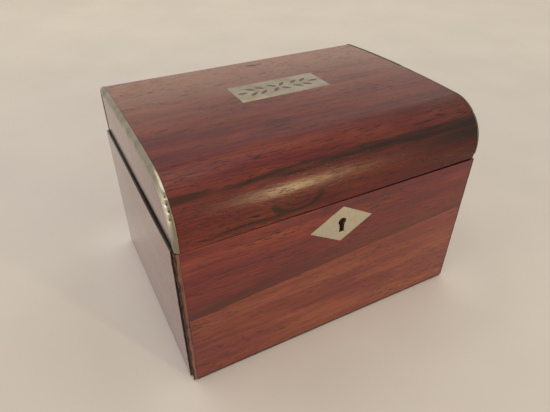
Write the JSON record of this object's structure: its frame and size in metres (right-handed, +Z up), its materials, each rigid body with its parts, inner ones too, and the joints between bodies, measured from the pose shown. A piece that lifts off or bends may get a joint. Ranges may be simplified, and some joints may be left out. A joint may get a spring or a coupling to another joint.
{
  "type": "tea caddy",
  "caption": "Rosewood-veneered tea caddy with a rounded, hinged and locking lid, metal edging and inlay, and lined compartments under loose inner lids.",
  "frame": {"origin": "under the middle of the base, on the surface that the caddy stands on", "axes": "+X along the width to the right, +Y from the keyhole face to the hinges, +Z up"},
  "size_m": [0.2009, 0.1516, 0.1393],
  "materials": {
    "rosewood_veneer": "french polished rosewood",
    "carcass_wood": "plain planed mahogany",
    "ebonised_wood": "black stained and polished",
    "inner_lid_wood": "polished rosewood",
    "nickel_silver": "dull nickel silver",
    "lock_brass": "aged brass",
    "bright_steel": "bright steel",
    "tea_foil": "dull tinned foil",
    "black_mastic": "hard black filling",
    "lining_paper": "plain paper on card",
    "baize": "woollen baize"
  },
  "bodies": {
    "body": {"base_board": "carcass_wood", "front_board": "carcass_wood", "rear_board": "carcass_wood", "left_end_board": "carcass_wood", "right_end_board": "carcass_wood", "base_baize": "baize", "front_veneer_upper": "rosewood_veneer", "front_veneer_lower": "rosewood_veneer", "left_end_veneer": "rosewood_veneer", "right_end_veneer": "rosewood_veneer", "rear_veneer": "rosewood_veneer", "front_left_corner_string": "rosewood_veneer", "front_right_corner_string": "rosewood_veneer", "body_rim_facing": "ebonised_wood", "escutcheon": "nickel_silver", "front_lining": "carcass_wood", "rear_lining": "carcass_wood", "left_lining": "carcass_wood", "right_lining": "carcass_wood", "partition": "carcass_wood", "left_foil_lining": "tea_foil", "right_foil_lining": "tea_foil", "lock_plate": "lock_brass", "lock_case": "lock_brass", "lock_drill_pin": "bright_steel", "lock_screws": "bright_steel", "left_hinge_body_leaf": "lock_brass", "right_hinge_body_leaf": "lock_brass", "left_hinge_pin": "bright_steel", "right_hinge_pin": "bright_steel", "body_hinge_screws": "bright_steel"},
    "lid": {"lid_left_end": "carcass_wood", "lid_right_end": "carcass_wood", "lid_front_rail": "carcass_wood", "lid_top_board": "carcass_wood", "lid_rear_rail": "carcass_wood", "lid_top_veneer": "rosewood_veneer", "lid_rear_veneer": "rosewood_veneer", "lid_left_end_veneer": "rosewood_veneer", "lid_right_end_veneer": "rosewood_veneer", "lid_left_edging": "nickel_silver", "lid_right_edging": "nickel_silver", "lid_plate": "nickel_silver", "lid_plate_infill": "black_mastic", "lid_paper_lining": "lining_paper", "lid_rim_facing": "ebonised_wood", "lid_hinge_screws": "bright_steel", "link_plate": "lock_brass", "link_plate_screws": "bright_steel", "left_hinge_lid_leaf": "lock_brass", "right_hinge_lid_leaf": "lock_brass"},
    "lock_bolt": {"lock_bolt": "lock_brass", "lock_bolt_spring": "bright_steel"},
    "left_inner_lid": {"left_inner_lid": "inner_lid_wood", "left_inner_knob": "ebonised_wood"},
    "right_inner_lid": {"right_inner_lid": "inner_lid_wood", "right_inner_knob": "ebonised_wood"}
  },
  "joints": [
    {"name": "lid_hinge", "type": "hinge", "parent": "body", "child": "lid", "pos_m": [0, 0.0725, 0.10325], "axis": [-1, 0, 0], "range_deg": [0, 100]},
    {"name": "lock_bolt_slide", "type": "slide", "parent": "body", "child": "lock_bolt", "axis": [1, 0, 0], "range_m": [0, 0.0045]},
    {"name": "left_inner_lid_lift", "type": "slide", "parent": "body", "child": "left_inner_lid", "axis": [0, 0, 1], "range_m": [0, 0.016]},
    {"name": "right_inner_lid_lift", "type": "slide", "parent": "body", "child": "right_inner_lid", "axis": [0, 0, 1], "range_m": [0, 0.016]}
  ]
}
